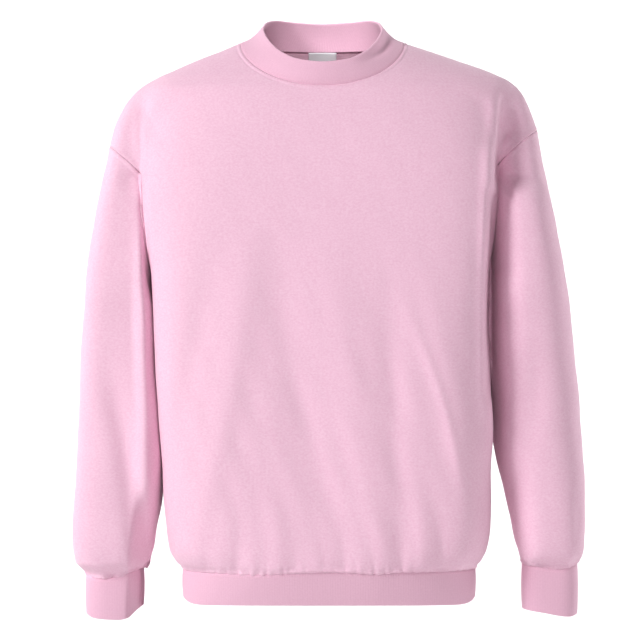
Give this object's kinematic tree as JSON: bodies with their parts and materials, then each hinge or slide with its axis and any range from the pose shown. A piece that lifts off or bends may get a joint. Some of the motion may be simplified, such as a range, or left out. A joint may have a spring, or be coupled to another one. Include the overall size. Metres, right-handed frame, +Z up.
{
  "type": "crewneck sweatshirt",
  "caption": "Pullover crewneck sweatshirt in smooth fleece, filled out and hollow, with dropped shoulders, long sleeves and ribbed neckband, cuffs and waistband.",
  "frame": {"origin": "midway between the two points where the shoulder seams meet the neckband, where the garment rests on its wearer's shoulders", "axes": "+Z up, -Y towards the front of the garment, +X towards the wearer's left"},
  "size_m": [0.6219, 0.227, 0.728],
  "materials": {
    "fleece": "smooth pink cotton-blend sweatshirt fleece, matt",
    "ribbing": "pink one-by-one knitted rib, matt",
    "label": "plain white woven satin label"
  },
  "bodies": {
    "root": {"front_panel": "fleece", "back_panel": "fleece", "sleeve_left": "fleece", "sleeve_right": "fleece", "cuff_left": "ribbing", "cuff_right": "ribbing", "neckband": "ribbing", "waistband": "ribbing", "neck_label": "label"}
  },
  "joints": []
}
